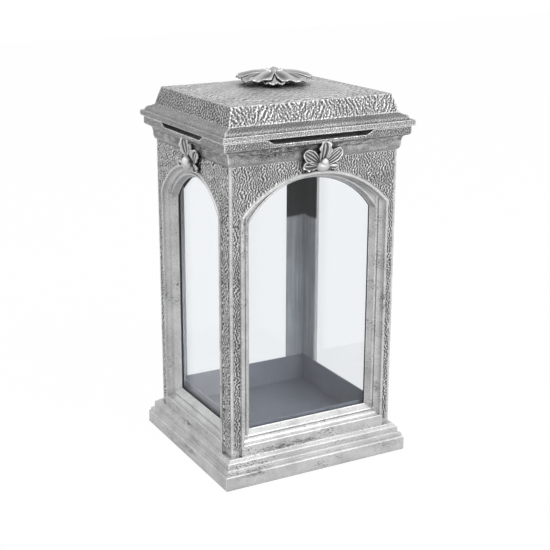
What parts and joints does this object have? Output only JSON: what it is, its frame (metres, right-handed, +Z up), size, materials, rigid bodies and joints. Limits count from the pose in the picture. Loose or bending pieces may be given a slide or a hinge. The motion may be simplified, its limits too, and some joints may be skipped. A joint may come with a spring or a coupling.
{
  "type": "candle lantern",
  "caption": "Rectangular cast-metal candle lantern with arched glass windows, a stepped plinth, a vented cornice and a lift-off lid with a flower rosette.",
  "frame": {"origin": "centre of the footprint on the surface that the lantern stands on", "axes": "+Z up, -Y out of the front (wide) wall, +X to the right seen from the front"},
  "size_m": [0.1502, 0.1372, 0.2852],
  "materials": {
    "cast_aluminium": "antiqued cast, satin, with dark patina in the recesses",
    "clear_glass": "clear",
    "black_seal": "matte",
    "dark_paint": "satin",
    "steel_fasteners": "plain",
    "foot_rubber": "matte"
  },
  "bodies": {
    "lantern_case": {"base_plinth": "cast_aluminium", "rubber_feet": "foot_rubber", "base_screws": "steel_fasteners", "floor_plate": "dark_paint", "front_panel": "cast_aluminium", "back_panel": "cast_aluminium", "left_panel": "cast_aluminium", "right_panel": "cast_aluminium", "front_glass": "clear_glass", "back_glass": "clear_glass", "left_glass": "clear_glass", "right_glass": "clear_glass", "front_seal": "black_seal", "back_seal": "black_seal", "left_seal": "black_seal", "right_seal": "black_seal", "strip_front_left": "dark_paint", "strip_front_right": "dark_paint", "strip_back_left": "dark_paint", "strip_back_right": "dark_paint", "glass_skirt": "dark_paint", "cornice_ring": "cast_aluminium", "cornice_screws": "steel_fasteners", "spray_front": "cast_aluminium", "spray_back": "cast_aluminium", "spray_left": "cast_aluminium", "spray_right": "cast_aluminium"},
    "lid": {"lid_shell": "cast_aluminium", "rosette_leaves": "cast_aluminium", "rosette_petals": "cast_aluminium", "rosette_button": "cast_aluminium", "lid_washer": "steel_fasteners", "lid_nut": "steel_fasteners"}
  },
  "joints": [
    {"name": "lid_lift", "type": "slide", "parent": "lantern_case", "child": "lid", "axis": [0, 0, 1], "range_m": [0, 0.06]}
  ]
}
